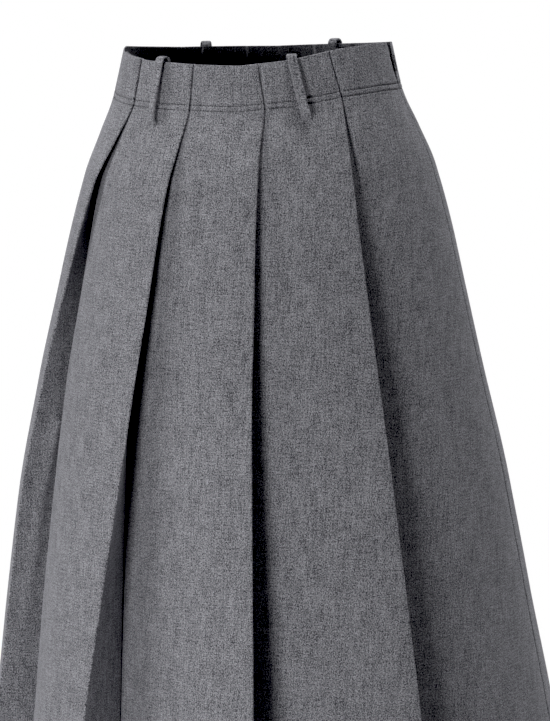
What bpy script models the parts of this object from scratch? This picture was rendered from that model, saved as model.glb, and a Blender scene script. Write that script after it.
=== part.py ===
# Knee-length-plus midi skirt in wool flannel, worn, with one-way knife pleats that open below the waist.
# Axes: +Z up, the garment faces -Y, the wearer's left is +X. The origin is the centre of the waist ring.
# Every ring of the cloth is worked out in two steps. First the garment's outline at that depth is an ellipse.
# Then the cloth line is drawn in "unrolled" terms: along (metres round the ellipse) and out (metres off it).
import math

import bmesh
import bpy
import numpy as np

# Cloth and fit
WALL = 0.0016
LAYER_GAP = 0.0005
TURN = (WALL + LAYER_GAP) / 2
STACK = 4 * TURN
SEAM_GAP = 0.0003
LENGTH = 0.78
RISE_FADE = 0.30
STITCH_DEPTH = 0.042
OPEN_OVER = 0.08
BELLY = 0.30

# Outline of the garment by depth below the waist edge, metres
OUTLINE = np.array(
    [
        # depth, half_width, half_depth, sway, pleat_back, valley_in, all from the waist ring down
        (0.000, 0.1206, 0.0860, 0.0027, 0.0380, 0.0000),
        (0.042, 0.1304, 0.0975, 0.0018, 0.0380, 0.0000),
        (0.075, 0.1414, 0.1099, 0.0017, 0.0385, 0.0002),
        (0.110, 0.1541, 0.1221, 0.0014, 0.0390, 0.0030),
        (0.160, 0.1658, 0.1343, 0.0002, 0.0390, 0.0070),
        (0.220, 0.1780, 0.1442, -0.0015, 0.0375, 0.0100),
        (0.300, 0.1939, 0.1560, -0.0035, 0.0350, 0.0120),
        (0.400, 0.2109, 0.1758, -0.0022, 0.0325, 0.0130),
        (0.500, 0.2264, 0.1960, -0.0002, 0.0305, 0.0130),
        (0.600, 0.2398, 0.2110, 0.0018, 0.0300, 0.0130),
        (0.780, 0.2640, 0.2340, 0.0030, 0.0290, 0.0120),
    ]
)

# How far each kind of fold edge stands back from its panel's start, and out from the outline, by the same depths
OPENING = np.array(
    [
        # side_back, side_out, near_back, near_out, mid_back, mid_out, far_back, far_out, wide_back, wide_out
        (0.0000, 0.0000, 0.0000, 0.0000, 0.0000, 0.0000, 0.0000, 0.0000, 0.0000, 0.0000),
        (0.0000, 0.0000, 0.0000, 0.0000, 0.0000, 0.0000, 0.0000, 0.0000, 0.0000, 0.0000),
        (0.0006, 0.0030, 0.0022, 0.0019, 0.0034, 0.0019, 0.0034, 0.0026, 0.0006, 0.0044),
        (0.0030, 0.0054, 0.0044, 0.0041, 0.0058, 0.0041, 0.0080, 0.0055, 0.0030, 0.0086),
        (0.0100, 0.0072, 0.0060, 0.0064, 0.0074, 0.0064, 0.0108, 0.0106, 0.0092, 0.0123),
        (0.0190, 0.0080, 0.0075, 0.0096, 0.0082, 0.0096, 0.0115, 0.0155, 0.0140, 0.0143),
        (0.0275, 0.0102, 0.0100, 0.0155, 0.0102, 0.0155, 0.0118, 0.0205, 0.0145, 0.0177),
        (0.0320, 0.0166, 0.0147, 0.0248, 0.0122, 0.0248, 0.0134, 0.0243, 0.0160, 0.0220),
        (0.0345, 0.0180, 0.0207, 0.0340, 0.0140, 0.0340, 0.0148, 0.0270, 0.0194, 0.0218),
        (0.0365, 0.0202, 0.0270, 0.0415, 0.0168, 0.0415, 0.0160, 0.0295, 0.0222, 0.0252),
        (0.0390, 0.0262, 0.0285, 0.0450, 0.0220, 0.0450, 0.0200, 0.0320, 0.0242, 0.0316),
    ]
)
KINDS = {"side": 0, "near": 2, "mid": 4, "far": 6, "wide": 8}

# The eight pleats in order round the ring: angle in degrees from centre front, kind, and how deep its valley goes
PLEATS = (
    (-57.3, "side", 1.6),
    (-20.2, "near", 1.0),
    (11.0, "mid", 1.0),
    (44.1, "far", 1.5),
    (130.0, "wide", 1.5),
    (161.0, "near", 1.1),
    (192.0, "mid", 1.0),
    (223.0, "far", 1.4),
)
FRONT_PLEATS = (0, 1, 2, 3)
BACK_PLEATS = (4, 5, 6, 7)

# In the waist zone a pleat's line slants: metres along at the waist edge and at the stitching, none lower down
SLANTS = {0: (0.0095, 0.0130), 1: (0.0, 0.0020), 2: (-0.0059, 0.0010), 3: (-0.0080, -0.0010)}
SLANT_END = 0.110

# The waist edge rides higher on the wearer's left: height in millimetres by angle round the ring
RISE_ANGLE = np.radians([-180, -135, -90, -67.5, -45, -22.5, 0, 22.5, 45, 67.5, 90, 135, 180, 225, 270])
RISE_MM = np.array([1.5, 3, 7.4, 1.2, -3.2, -6.1, -8.2, -3.8, 4.6, 8.0, 7.6, 4, 1.5, 3, 7.4])

# Depths at which the cloth is ringed
RINGS = (0.0, 0.030, 0.042, 0.058, 0.078, 0.110, 0.160, 0.220, 0.310, 0.430, 0.580, 0.780)

# Places along a panel as shares of its run from start to fold, or of its run from start to seam and seam to fold
RUN_SHARES = (0.075, 0.155, 0.26, 0.43, 0.62, 0.81, 1.0)
TO_SEAM_SHARES = (0.07, 0.14, 0.21, 0.38, 0.56, 0.72)
FROM_SEAM_SHARES = (0.30, 0.46, 0.60, 0.74, 0.87, 1.0)
BESIDE_SEAM = (0.0065, 0.0130)
BACK_SHARES = (1.0, 0.74, 0.48, 0.24, 0.0)
UNDER_SHARES = (0.0, 0.26, 0.52, 0.76, 1.0)
ARC_STEPS = 4

# Belt loops: a strap of doubled cloth, sewn inside the waist edge, over it and down the outside
LOOP_WIDTH = 0.0090
LOOP_CLOTH = 0.0022
LOOPS = (
    # name, angle at the top and at the bottom
    ("belt_loop_1", -36.3, -34.4),
    ("belt_loop_2", 23.2, 27.6),
    ("belt_loop_3", 151.5, 150.0),
    ("belt_loop_4", 212.0, 214.0),
)
LOOP_PATH = (
    # depth, out: the strap's middle, out counted from the innermost layer's middle
    (0.0110, -0.0024),
    (0.0055, -0.0024),
    (0.0003, -0.0024),
    (-0.0026, -0.0015),
    (-0.0040, 0.0014),
    (-0.0042, 0.0050),
    (-0.0030, 0.0084),
    (-0.0004, 0.0104),
    (0.0040, 0.0110),
    (0.0130, 0.0110),
    (0.0230, 0.0109),
    (0.0330, 0.0106),
    (0.0405, 0.0100),
    (0.0452, 0.0086),
    (0.0482, 0.0070),
    (0.0505, 0.0066),
)

# Zip in the wearer's left seam: the seam stands open at the top
ZIP_ANGLE = math.radians(90)
ZIP_LEAN = np.array(
    [
        # depth, along: the seam leans forward towards the waist edge
        (0.000, -0.0090),
        (0.030, -0.0070),
        (0.063, -0.0045),
        (0.110, -0.0032),
        (0.165, -0.0016),
        (0.300, 0.0000),
    ]
)
ZIP_GAP = 0.0070
ZIP_STRAIGHT = 0.024
ZIP_CLOSED = 0.036
TAPE_DEPTHS = (0.004, 0.030, 0.042, 0.058, 0.078, 0.110, 0.160, 0.200)
TAPE_COLUMNS = (
    # along, thickness
    (-0.0110, 0.0007),
    (-0.0065, 0.0007),
    (-0.0026, 0.0007),
    (-0.0016, 0.0020),
    (0.0016, 0.0020),
    (0.0026, 0.0007),
    (0.0065, 0.0007),
    (0.0110, 0.0007),
)
TAPE_GAP = 0.00046
SLIDER_DEPTH = 0.0115
SLIDER_LENGTH = 0.0090
SLIDER_WIDTH = 0.0046
SLIDER_THICK = 0.0013
SLIDER_LIFT = 0.0004
EAR_THICK = 0.0007
EYE_WIDTH = 0.0026
EYE_RADIUS = 0.0012
EYE_HOLE = 0.00065
PIN_RADIUS = 0.00035
PIN_DROP = 0.0020
PULL_LENGTH = 0.0135
PULL_WIDTH = 0.0036
PULL_THICK = 0.0008
RUNNING = 0.0003


def column(depth, values):
    """Smooth monotone curve through a table column, read at one depth."""
    x = OUTLINE[:, 0]
    h = np.diff(x)
    d = np.diff(values) / h
    m = np.zeros_like(values)
    same = d[:-1] * d[1:] > 0
    both = np.where(same, d[:-1] + d[1:], 1.0)
    m[1:-1] = np.where(same, 2 * d[:-1] * d[1:] / both, 0.0)
    m[0] = d[0]
    m[-1] = d[-1]
    i = min(max(int(np.searchsorted(x, depth, side="right")) - 1, 0), len(h) - 1)
    t = (depth - x[i]) / h[i]
    rise = (2 * t**3 - 3 * t**2 + 1) * values[i] + (3 * t**2 - 2 * t**3) * values[i + 1]
    return rise + ((t**3 - 2 * t**2 + t) * m[i] + (t**3 - t**2) * m[i + 1]) * h[i]


class Ring:
    """The garment at one depth: its ellipse, and the cloth line drawn on it."""

    def __init__(self, depth):
        self.depth = depth
        self.a = column(depth, OUTLINE[:, 1])
        self.b = column(depth, OUTLINE[:, 2])
        self.sway = column(depth, OUTLINE[:, 3])
        self.back = column(depth, OUTLINE[:, 4])
        self.valley = column(depth, OUTLINE[:, 5])
        self.free = min(max((depth - STITCH_DEPTH) / OPEN_OVER, 0.0), 1.0)
        self.angles = np.linspace(-math.pi, 2 * math.pi, 1801)
        speed = np.hypot(self.a * np.cos(self.angles), self.b * np.sin(self.angles))
        steps = (speed[1:] + speed[:-1]) / 2 * (self.angles[1] - self.angles[0])
        self.lengths = np.concatenate([[0.0], np.cumsum(steps)])

    def along(self, angle):
        """Distance round the ellipse at an angle."""
        return float(np.interp(angle, self.angles, self.lengths))

    def seam(self, angle):
        """Distance round the ellipse to a side seam, with the zip seam's lean."""
        if abs(angle - ZIP_ANGLE) > 0.01:
            return self.along(angle)
        return self.along(angle) + float(np.interp(self.depth, ZIP_LEAN[:, 0], ZIP_LEAN[:, 1]))

    def point(self, along, out):
        """World point at a distance round the ellipse and an offset from it."""
        t = np.interp(along, self.lengths, self.angles)
        nx = self.b * np.sin(t)
        ny = -self.a * np.cos(t)
        n = np.hypot(nx, ny)
        x = self.sway + self.a * np.sin(t) + out * nx / n
        y = -self.b * np.cos(t) + out * ny / n
        fade = max(1 - self.depth / RISE_FADE, 0.0)
        z = -self.depth + np.interp(t, RISE_ANGLE, RISE_MM) / 1000 * fade
        return np.array([x, y, z])

    def fold(self, k):
        """How far the fold edge of pleat k stands back and out."""
        kind = KINDS[PLEATS[k][1]]
        back = column(self.depth, OPENING[:, kind])
        out = column(self.depth, OPENING[:, kind + 1])
        return back + TURN + 0.0002, out + STACK

    def start(self, k, turn=0):
        """Distance round the ellipse where the panel after pleat k starts."""
        edge, stitching = SLANTS.get(k, (0.0, 0.0))
        slant = float(np.interp(self.depth, (0.0, STITCH_DEPTH, SLANT_END), (edge, stitching, 0.0)))
        return self.along(math.radians(PLEATS[k][0]) + turn) + slant

    def panel_out(self, q, run, out):
        """Offset of a panel at q past its start: layered flat at the waist, an even slope once it opens."""
        x = min(max(q / run, 0.0), 1.0)
        slope = x * (1 + BELLY * (1 - x))
        rise = min(max((q - 0.003) / 0.012, 0.0), 1.0)
        step = rise * rise * (3 - 2 * rise)
        return out * (self.free * slope + (1 - self.free) * step)

    def under_start(self, k, q, run, out):
        """Offset of the cloth behind the panel's start, from the valley (q negative) to the start."""
        valley = -self.valley * PLEATS[k][2]
        slope = self.free * out * (1 + BELLY) / run
        x = -q / self.back
        return slope * q + (valley + slope * self.back) * x * x


def arc(centre, radius, first, last):
    """Points of a turn between two angles, ends left out."""
    steps = [first + (last - first) * i / ARC_STEPS for i in range(1, ARC_STEPS)]
    return [(centre[0] + radius * math.cos(t), centre[1] + radius * math.sin(t)) for t in steps]


def pleat_turns(ring, k):
    """Unrolled points of pleat k from the end of its fold edge to the bottom of its valley, about its own start."""
    back, out = ring.fold(k)
    valley_q = -ring.back
    valley_o = -ring.valley * PLEATS[k][2]
    top = (-back, out - TURN)
    low = (valley_q, valley_o + TURN)
    dq = low[0] - top[0]
    do = low[1] - top[1]
    reach = math.hypot(dq, do)
    lean = math.atan2(do, dq)
    if lean > 0:
        lean -= 2 * math.pi
    cross = math.asin(min(2 * TURN / reach, 1.0))
    heading = lean - cross
    leave = heading + math.pi / 2
    points = arc(top, TURN, math.pi / 2, leave)
    first = (top[0] + TURN * math.cos(leave), top[1] + TURN * math.sin(leave))
    last = (low[0] - TURN * math.cos(leave), low[1] - TURN * math.sin(leave))
    for share in UNDER_SHARES:
        points.append((first[0] + (last[0] - first[0]) * share, first[1] + (last[1] - first[1]) * share))
    points += arc(low, TURN, leave + math.pi, 3 * math.pi / 2 if leave + math.pi > 0 else -math.pi / 2)
    return points


def side_cut(ring, angle, opens):
    """Half of the gap left at a side seam."""
    if not opens:
        return SEAM_GAP / 2
    closed = (ring.depth - ZIP_STRAIGHT) / (ZIP_CLOSED - ZIP_STRAIGHT)
    return ZIP_GAP / 2 + (SEAM_GAP / 2 - ZIP_GAP / 2) * min(max(closed, 0.0), 1.0)


def half_line(depth, pleats, first_seam, last_seam, first_opens):
    """The cloth line of one half of the skirt at one depth, from seam to seam, as world points."""
    ring = Ring(depth)
    before = (pleats[0] - 1) % 8
    turn = -2 * math.pi if before > pleats[0] else 0.0
    line = []
    start = ring.start(before, turn)
    back, out = ring.fold(pleats[0])
    run = ring.start(pleats[0]) - back - start
    seam = ring.seam(first_seam) + side_cut(ring, first_seam, first_opens)
    at_seam = (seam - start) / run
    places = [run * at_seam] + [ring.seam(first_seam) - start + step for step in BESIDE_SEAM]
    places += [run * (at_seam + (1 - at_seam) * share) for share in FROM_SEAM_SHARES]
    line += [ring.point(start + q, ring.panel_out(q, run, out)) for q in places]
    for i, k in enumerate(pleats):
        here = ring.start(k)
        line += [ring.point(here + q, o) for q, o in pleat_turns(ring, k)]
        last = i == len(pleats) - 1
        after = (k + 1) % 8
        spin = 2 * math.pi if after < k else 0.0
        back, out = ring.fold(after)
        run = ring.start(after, spin) - back - here
        line += [
            ring.point(here - ring.back * s, ring.under_start(k, -ring.back * s, run, out)) for s in BACK_SHARES
        ]
        if last:
            seam = ring.seam(last_seam) - side_cut(ring, last_seam, not first_opens)
            places = [(seam - here) * share for share in TO_SEAM_SHARES]
            places += [ring.seam(last_seam) - here - step for step in reversed(BESIDE_SEAM)] + [seam - here]
        else:
            places = [run * share for share in RUN_SHARES]
        line += [ring.point(here + q, ring.panel_out(q, run, out)) for q in places]
    return np.array(line)


def offset_line(line, distance):
    """The line moved sideways in plan by a distance, mitred at its corners."""
    d = np.diff(line[:, :2], axis=0)
    d /= np.linalg.norm(d, axis=1)[:, None]
    n = np.stack([d[:, 1], -d[:, 0]], axis=1)
    first = np.vstack([n[:1], n])
    last = np.vstack([n, n[-1:]])
    mid = first + last
    mid /= np.linalg.norm(mid, axis=1)[:, None]
    scale = 1 / np.maximum((mid * last).sum(axis=1), 0.5)
    moved = line.copy()
    moved[:, :2] += mid * (distance * scale)[:, None]
    return moved


def finish(name, vertices, faces, colour, roughness, metallic=0.0):
    """One closed named body with its own material."""
    mesh = bpy.data.meshes.new(name)
    mesh.from_pydata([tuple(float(c) for c in v) for v in vertices], [], faces)
    mesh.validate()
    mesh.update()
    material = bpy.data.materials.new(name + "_material")
    material.use_nodes = True
    shader = material.node_tree.nodes["Principled BSDF"]
    shader.inputs["Base Color"].default_value = (*colour, 1.0)
    shader.inputs["Roughness"].default_value = roughness
    shader.inputs["Metallic"].default_value = metallic
    mesh.materials.append(material)
    body = bpy.data.objects.new(name, mesh)
    bpy.context.scene.collection.objects.link(body)
    return body


def sheet_body(name, outer, inner, colour, roughness):
    """A closed body between two grids of points, rows by columns, outer side first."""
    rows, cols = outer.shape[:2]
    vertices = np.vstack([outer.reshape(-1, 3), inner.reshape(-1, 3)])
    far = rows * cols
    faces = []
    for i in range(rows - 1):
        for j in range(cols - 1):
            p = i * cols + j
            faces.append((p, p + cols, p + cols + 1, p + 1))
            faces.append((far + p, far + p + 1, far + p + cols + 1, far + p + cols))
    for j in range(cols - 1):
        e = (rows - 1) * cols + j
        faces.append((j, j + 1, far + j + 1, far + j))
        faces.append((e, far + e, far + e + 1, e + 1))
    for i in range(rows - 1):
        p = i * cols
        e = i * cols + cols - 1
        faces.append((p, far + p, far + p + cols, p + cols))
        faces.append((e, e + cols, far + e + cols, far + e))
    return finish(name, vertices, faces, colour, roughness)


def cloth_half(name, pleats, first_seam, last_seam, first_opens):
    """Front or back: the pleated wall from seam to seam and from waist edge to hem."""
    outer = []
    inner = []
    for depth in RINGS:
        line = half_line(depth, pleats, first_seam, last_seam, first_opens)
        outer.append(offset_line(line, WALL / 2))
        inner.append(offset_line(line, -WALL / 2))
    return sheet_body(name, np.array(outer), np.array(inner), (0.13, 0.13, 0.14), 0.9)


def wall_point(depth, angle, along, out):
    """A point off the outline at any depth, on the straight run between the two rings it lies between."""
    depth = max(depth, 0.0)
    lower = min((d for d in RINGS if d >= depth), default=RINGS[-1])
    upper = max(d for d in RINGS if d <= depth)
    share = 0.0 if lower == upper else (depth - upper) / (lower - upper)
    points = [Ring(d).point(Ring(d).along(angle) + along, out) for d in (upper, lower)]
    return points[0] + (points[1] - points[0]) * share


def strap_body(name, top_angle, bottom_angle):
    """A belt loop: a flat strap swept along its path, square to the cloth."""
    length = LOOP_PATH[-1][0]
    middle = []
    across = []
    for depth, out in LOOP_PATH:
        share = min(max(depth / length, 0.0), 1.0)
        angle = math.radians(top_angle + (bottom_angle - top_angle) * share)
        here = wall_point(depth, angle, 0.0, out)
        here[2] -= min(depth, 0.0)
        side = wall_point(depth, angle, 0.002, out) - wall_point(depth, angle, -0.002, out)
        side[2] = 0.0
        middle.append(here)
        across.append(side / np.linalg.norm(side))
    middle = np.array(middle)
    across = np.array(across)
    run = np.gradient(middle, axis=0)
    face = np.cross(across, run)
    face /= np.linalg.norm(face, axis=1)[:, None]
    vertices = []
    for u, v in ((-1, 1), (1, 1), (1, -1), (-1, -1)):
        vertices.append(middle + across * (u * LOOP_WIDTH / 2) + face * (v * LOOP_CLOTH / 2))
    vertices = np.stack(vertices, axis=1).reshape(-1, 3)
    count = len(middle)
    faces = [(0, 1, 2, 3), tuple(4 * (count - 1) + i for i in (3, 2, 1, 0))]
    for i in range(count - 1):
        for j in range(4):
            k = (j + 1) % 4
            faces.append((4 * i + j, 4 * i + 4 + j, 4 * i + 4 + k, 4 * i + k))
    return finish(name, vertices, faces, (0.13, 0.13, 0.14), 0.9)


def seam_point(depth, along, inward):
    """A point beside the zip seam, a distance in from the wall's inner face, on the wall's own straight runs."""
    lower = min((d for d in RINGS if d >= depth), default=RINGS[-1])
    upper = max((d for d in RINGS if d <= depth), default=0.0)
    share = 0.0 if lower == upper else (depth - upper) / (lower - upper)
    points = []
    for d in (upper, lower):
        ring = Ring(d)
        start = ring.start(3)
        back, out = ring.fold(4)
        run = ring.start(4) - back - start
        q = ring.seam(ZIP_ANGLE) - start + along
        points.append(ring.point(start + q, ring.panel_out(q, run, out) - WALL / 2 - inward))
    return points[0] + (points[1] - points[0]) * share


def extruded(outline, axis, low, high):
    """Closed prism of a flat outline along X (axis 0) or Y (axis 1), returned as vertices and faces."""
    others = [i for i in range(3) if i != axis]
    vertices = []
    for level in (low, high):
        for u, v in outline:
            p = [0.0, 0.0, 0.0]
            p[axis] = level
            p[others[0]] = u
            p[others[1]] = v
            vertices.append(p)
    n = len(outline)
    faces = [tuple(range(n - 1, -1, -1)), tuple(range(n, 2 * n))]
    faces += [(i, (i + 1) % n, n + (i + 1) % n, n + i) for i in range(n)]
    return np.array(vertices), faces


def outward(body):
    """Turn every face of a closed body outwards."""
    mesh = bmesh.new()
    mesh.from_mesh(body.data)
    bmesh.ops.recalc_face_normals(mesh, faces=mesh.faces[:])
    mesh.to_mesh(body.data)
    mesh.free()
    return body


def joined(body, others):
    """Unite closed bodies into the first one."""
    for other in others:
        other.hide_render = True
        other.display_type = "WIRE"
        change = body.modifiers.new("unite", "BOOLEAN")
        change.operation = "UNION"
        change.solver = "EXACT"
        change.object = other
    bpy.context.view_layer.update()
    seen = bpy.context.evaluated_depsgraph_get()
    mesh = bpy.data.meshes.new_from_object(body.evaluated_get(seen))
    body.modifiers.clear()
    body.data = mesh
    for other in others:
        bpy.data.objects.remove(other, do_unlink=True)
    return body


def placed(shape, centre, axes):
    """A shape's vertices set at a centre, its X out from the cloth, its Y round the ring and its Z up the seam."""
    return np.asarray(shape[0]) @ axes + centre, shape[1]


def circle(radius, steps, turn=0.0):
    """Points round a circle."""
    return [
        (radius * math.cos(turn + 2 * math.pi * i / steps), radius * math.sin(turn + 2 * math.pi * i / steps))
        for i in range(steps)
    ]


def zip_tape():
    """The tape with its row of teeth, behind the seam."""
    outer = []
    inner = []
    for depth in TAPE_DEPTHS:
        outer.append([seam_point(depth, along, TAPE_GAP) for along, thick in TAPE_COLUMNS])
        inner.append([seam_point(depth, along, TAPE_GAP + thick) for along, thick in TAPE_COLUMNS])
    return sheet_body("zip_tape", np.array(outer), np.array(inner), (0.02, 0.02, 0.022), 0.7)


def zip_parts():
    """The slider in the open top of the seam, and the tab that hangs from its bridge."""
    metal = (0.03, 0.03, 0.032)
    middle = SLIDER_DEPTH + SLIDER_LENGTH / 2
    centre = seam_point(middle, 0.0, TAPE_GAP)
    sideways = seam_point(middle, 0.002, TAPE_GAP) - seam_point(middle, -0.002, TAPE_GAP)
    sideways[2] = 0.0
    sideways /= np.linalg.norm(sideways)
    upwards = seam_point(SLIDER_DEPTH, 0.0, TAPE_GAP) - centre
    upwards -= sideways * np.dot(upwards, sideways)
    upwards /= np.linalg.norm(upwards)
    outwards = np.cross(sideways, upwards)
    axes = np.array([outwards, sideways, upwards])
    base = SLIDER_LIFT
    front = base + SLIDER_THICK
    half = SLIDER_WIDTH / 2
    low = -SLIDER_LENGTH / 2
    high = SLIDER_LENGTH / 2
    shield = [
        (-half * 0.62, low),
        (half * 0.62, low),
        (half, low + SLIDER_LENGTH * 0.45),
        (half, high - 0.0014),
        (half * 0.6, high),
        (-half * 0.6, high),
        (-half, high - 0.0014),
        (-half, low + SLIDER_LENGTH * 0.45),
    ]
    pin = centre + outwards * (front + RUNNING + EYE_RADIUS) + upwards * (high - PIN_DROP)
    block = extruded(shield, 0, base, front)
    slider = finish("zip_slider", *placed(block, centre, axes), metal, 0.35, 1.0)
    outward(slider)
    root = -RUNNING - EYE_RADIUS - SLIDER_THICK / 2
    ear_line = [
        (root, -0.0015),
        (0.0003, -0.0009),
        (0.0007, 0.0),
        (0.0003, 0.0009),
        (root, 0.0015),
    ]
    helpers = []
    inside = EYE_WIDTH / 2 + RUNNING * 0.7
    for i, side in enumerate((-1, 1)):
        first, last = sorted((side * inside, side * (inside + EAR_THICK)))
        ear = placed(extruded(ear_line, 1, first, last), pin, axes)
        helpers.append(outward(finish("ear_%d" % i, *ear, metal, 0.35, 1.0)))
    rod = extruded(circle(PIN_RADIUS, 12), 1, -inside - EAR_THICK / 2, inside + EAR_THICK / 2)
    rod = placed(rod, pin, axes)
    helpers.append(outward(finish("bridge_rod", *rod, metal, 0.35, 1.0)))
    joined(slider, helpers)

    steps = 16
    ring_out = circle(EYE_RADIUS, steps)
    ring_in = circle(EYE_HOLE, steps)
    vertices = []
    for y in (-EYE_WIDTH / 2, EYE_WIDTH / 2):
        vertices += [(u, y, v) for u, v in ring_out] + [(u, y, v) for u, v in ring_in]
    faces = []
    for i in range(steps):
        k = (i + 1) % steps
        faces.append((i, k, 2 * steps + k, 2 * steps + i))
        faces.append((steps + i, 3 * steps + i, 3 * steps + k, steps + k))
        faces.append((i, steps + i, steps + k, k))
        faces.append((2 * steps + i, 2 * steps + k, 3 * steps + k, 3 * steps + i))
    eye = placed((vertices, faces), pin, axes)
    pull = finish("zip_pull", *eye, metal, 0.35, 1.0)
    outward(pull)
    w = PULL_WIDTH / 2
    neck = EYE_WIDTH * 0.36
    root = -(EYE_RADIUS + EYE_HOLE) / 2
    end = -PULL_LENGTH
    blade_line = [
        (-neck, root),
        (-neck, -0.0034),
        (-w, -0.0060),
        (-w, end + 0.0014),
        (-w * 0.6, end + 0.0003),
        (0.0, end),
        (w * 0.6, end + 0.0003),
        (w, end + 0.0014),
        (w, -0.0060),
        (neck, -0.0034),
        (neck, root),
    ]
    blade = placed(extruded(blade_line, 0, -PULL_THICK / 2, PULL_THICK / 2), pin, axes)
    helper = outward(finish("pull_blade", *blade, metal, 0.35, 1.0))
    joined(pull, [helper])
    return pin, -sideways


for old in list(bpy.data.objects):
    bpy.data.objects.remove(old, do_unlink=True)

cloth_half("front", FRONT_PLEATS, math.radians(-90), math.radians(90), False)
cloth_half("back", BACK_PLEATS, math.radians(90), math.radians(270), True)
for loop_name, loop_top, loop_bottom in LOOPS:
    outward(strap_body(loop_name, loop_top, loop_bottom))
zip_tape()
hinge, hinge_axis = zip_parts()
print("hinge of the pull tab at", [round(float(c), 6) for c in hinge])
print("hinge axis", [round(float(c), 6) for c in hinge_axis])
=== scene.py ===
"""Knife-pleated midi skirt in grey melange wool flannel, worn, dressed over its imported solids."""

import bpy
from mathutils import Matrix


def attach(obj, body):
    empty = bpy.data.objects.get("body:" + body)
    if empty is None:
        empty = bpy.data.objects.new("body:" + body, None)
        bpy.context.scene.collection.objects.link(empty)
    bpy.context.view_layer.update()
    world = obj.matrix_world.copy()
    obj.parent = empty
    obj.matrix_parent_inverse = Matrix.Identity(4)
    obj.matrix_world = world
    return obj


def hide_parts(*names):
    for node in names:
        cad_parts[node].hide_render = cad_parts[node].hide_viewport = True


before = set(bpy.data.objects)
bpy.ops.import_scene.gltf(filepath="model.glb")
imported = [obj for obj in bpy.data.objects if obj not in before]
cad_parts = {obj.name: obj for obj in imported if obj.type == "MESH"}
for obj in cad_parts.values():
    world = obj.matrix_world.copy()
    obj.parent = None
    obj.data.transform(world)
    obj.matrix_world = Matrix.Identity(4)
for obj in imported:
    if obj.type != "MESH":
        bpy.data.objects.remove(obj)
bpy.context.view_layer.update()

import logging
import math
from dataclasses import dataclass, field
from enum import Enum

import bmesh
import bpy
import numpy as np
from mathutils import Matrix

logging.basicConfig(level=logging.INFO, format="%(message)s")
LOG = logging.getLogger("skirt")

PLEATS = 8
LOOP_ANGLES = ((-36.3, -34.4), (23.2, 27.6), (151.5, 150.0), (212.0, 214.0))


def running(points: np.ndarray) -> np.ndarray:
    """Length along lines of points, nought at each line's first point."""
    steps = np.linalg.norm(np.diff(points, axis=-2), axis=-1)
    return np.concatenate([np.zeros((*steps.shape[:-1], 1)), np.cumsum(steps, axis=-1)], axis=-1)


def unit(vectors: np.ndarray) -> np.ndarray:
    """The same directions at length one."""
    return vectors / np.linalg.norm(vectors, axis=-1, keepdims=True)


def round_angles(count: int) -> np.ndarray:
    """Angles at an even step round a full turn."""
    return np.arange(count) * 2 * math.pi / count


def bell(value: np.ndarray, middle: np.ndarray | float, width: float) -> np.ndarray:
    """A smooth bump: one at its middle, about a third at its width to either side."""
    return np.exp(-(((value - middle) / width) ** 2))


class Half(Enum):
    """Which half of the skirt: its node, its pleats and its two seams in degrees round the ring."""

    FRONT = ("front", range(0, 4), (-90.0, 90.0))
    BACK = ("back", range(4, 8), (90.0, 270.0))

    def __init__(self, node: str, pleats: range, seams: tuple[float, float]) -> None:
        """Name the half's three values."""
        self.node = node
        self.pleats = pleats
        self.seams = seams


class Hold(Enum):
    """How a sheet of cloth is held."""

    GATHERED = "gathered"


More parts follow.
